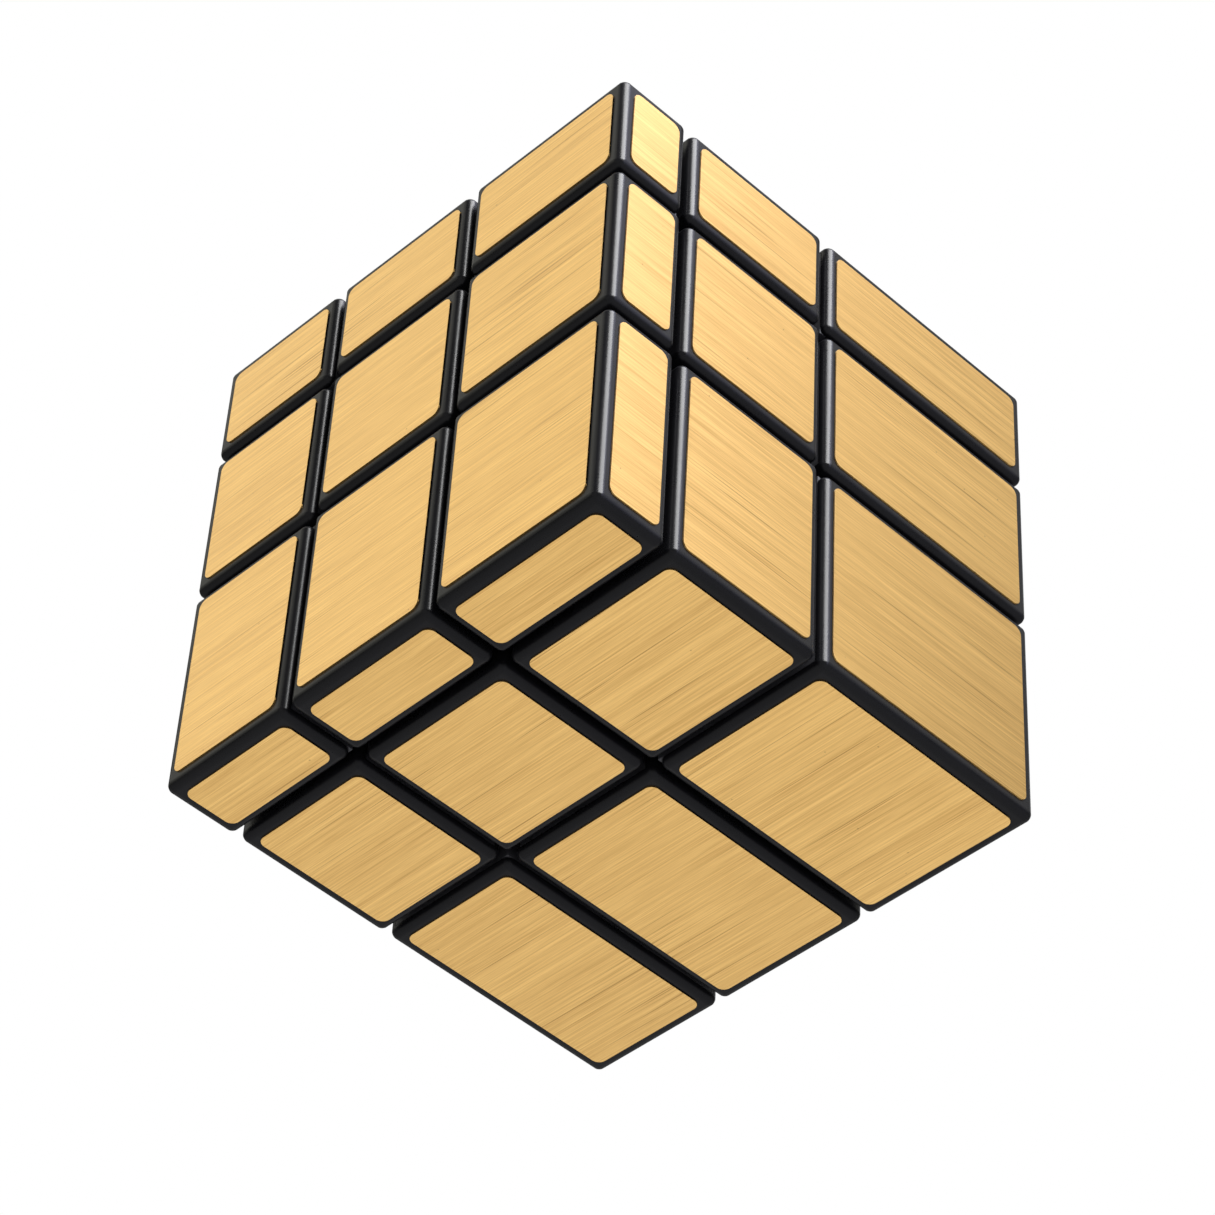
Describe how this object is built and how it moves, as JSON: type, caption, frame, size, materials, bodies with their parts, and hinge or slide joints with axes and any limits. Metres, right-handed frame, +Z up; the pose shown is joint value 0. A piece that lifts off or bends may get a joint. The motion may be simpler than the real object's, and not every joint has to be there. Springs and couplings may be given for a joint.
{
  "type": "mirror block cube puzzle",
  "caption": "Twisting puzzle cube whose blocks differ in size, faced with brushed gold foil on black plastic, with sprung centre blocks on a six-armed core.",
  "frame": {"origin": "centre of the square footprint, on the surface that the cube stands on", "axes": "+Z up through the top layer, +X towards the right face, -Y towards the front face, whose layer is the thinnest; the core's centre is at X -2 mm, Y -10 mm, Z 34.5 mm"},
  "size_m": [0.057, 0.057, 0.057],
  "materials": {
    "brushed_gold_foil": "brushed",
    "black_shell": "satin",
    "black_mechanism": "matte",
    "spring_steel": "satin"
  },
  "bodies": {
    "middle_layer": {"core": "black_mechanism", "centre_screws": "spring_steel", "spring_washers": "spring_steel", "centre_springs": "spring_steel", "edge_shell_front_left": "black_shell", "edge_shell_front_right": "black_shell", "edge_shell_back_left": "black_shell", "edge_shell_back_right": "black_shell", "edge_foot_front_left": "black_mechanism", "edge_foot_front_right": "black_mechanism", "edge_foot_back_left": "black_mechanism", "edge_foot_back_right": "black_mechanism", "middle_foils": "brushed_gold_foil"},
    "upper_layer": {"edge_shell_top_front": "black_shell", "edge_shell_top_back": "black_shell", "edge_shell_top_left": "black_shell", "edge_shell_top_right": "black_shell", "edge_foot_top_front": "black_mechanism", "edge_foot_top_back": "black_mechanism", "edge_foot_top_left": "black_mechanism", "edge_foot_top_right": "black_mechanism", "corner_shell_top_front_left": "black_shell", "corner_shell_top_front_right": "black_shell", "corner_shell_top_back_left": "black_shell", "corner_shell_top_back_right": "black_shell", "upper_corner_feet": "black_mechanism", "upper_foils": "brushed_gold_foil"},
    "lower_layer": {"edge_shell_bottom_front": "black_shell", "edge_shell_bottom_back": "black_shell", "edge_shell_bottom_left": "black_shell", "edge_shell_bottom_right": "black_shell", "edge_foot_bottom_front": "black_mechanism", "edge_foot_bottom_back": "black_mechanism", "edge_foot_bottom_left": "black_mechanism", "edge_foot_bottom_right": "black_mechanism", "corner_shell_bottom_front_left": "black_shell", "corner_shell_bottom_front_right": "black_shell", "corner_shell_bottom_back_left": "black_shell", "corner_shell_bottom_back_right": "black_shell", "lower_corner_feet": "black_mechanism", "lower_foils": "brushed_gold_foil", "bottom_foils": "brushed_gold_foil"},
    "front_centre": {"centre_base_front": "black_mechanism", "centre_cap_front": "black_shell", "centre_foil_front": "brushed_gold_foil"},
    "back_centre": {"centre_base_back": "black_mechanism", "centre_cap_back": "black_shell", "centre_foil_back": "brushed_gold_foil"},
    "left_centre": {"centre_base_left": "black_mechanism", "centre_cap_left": "black_shell", "centre_foil_left": "brushed_gold_foil"},
    "right_centre": {"centre_base_right": "black_mechanism", "centre_cap_right": "black_shell", "centre_foil_right": "brushed_gold_foil"},
    "top_centre": {"centre_base_top": "black_mechanism", "centre_cap_top": "black_shell", "centre_foil_top": "brushed_gold_foil"},
    "bottom_centre": {"centre_base_bottom": "black_mechanism", "centre_cap_bottom": "black_shell", "centre_foil_bottom": "brushed_gold_foil"}
  },
  "joints": [
    {"name": "upper_layer_turn", "type": "hinge", "parent": "middle_layer", "child": "upper_layer", "pos_m": [-0.002, -0.01, 0.0345], "axis": [0, 0, 1], "continuous": true},
    {"name": "lower_layer_turn", "type": "hinge", "parent": "middle_layer", "child": "lower_layer", "pos_m": [-0.002, -0.01, 0.0345], "axis": [0, 0, 1], "continuous": true},
    {"name": "front_centre_lift", "type": "slide", "parent": "middle_layer", "child": "front_centre", "axis": [0, -1, 0], "range_m": [0, 0.0006], "stiffness_N_per_m": 1500, "springref_m": -0.001, "deforming": ["centre_springs"]},
    {"name": "back_centre_lift", "type": "slide", "parent": "middle_layer", "child": "back_centre", "axis": [0, 1, 0], "range_m": [0, 0.0006], "stiffness_N_per_m": 1500, "springref_m": -0.001, "deforming": ["centre_springs"]},
    {"name": "left_centre_lift", "type": "slide", "parent": "middle_layer", "child": "left_centre", "axis": [-1, 0, 0], "range_m": [0, 0.0006], "stiffness_N_per_m": 1500, "springref_m": -0.001, "deforming": ["centre_springs"]},
    {"name": "right_centre_lift", "type": "slide", "parent": "middle_layer", "child": "right_centre", "axis": [1, 0, 0], "range_m": [0, 0.0006], "stiffness_N_per_m": 1500, "springref_m": -0.001, "deforming": ["centre_springs"]},
    {"name": "top_centre_lift", "type": "slide", "parent": "upper_layer", "child": "top_centre", "axis": [0, 0, 1], "range_m": [0, 0.0006], "stiffness_N_per_m": 1500, "springref_m": -0.001, "deforming": ["centre_springs"]},
    {"name": "bottom_centre_lift", "type": "slide", "parent": "lower_layer", "child": "bottom_centre", "axis": [0, 0, -1], "range_m": [0, 0.0006], "stiffness_N_per_m": 1500, "springref_m": -0.001, "deforming": ["centre_springs"]}
  ]
}
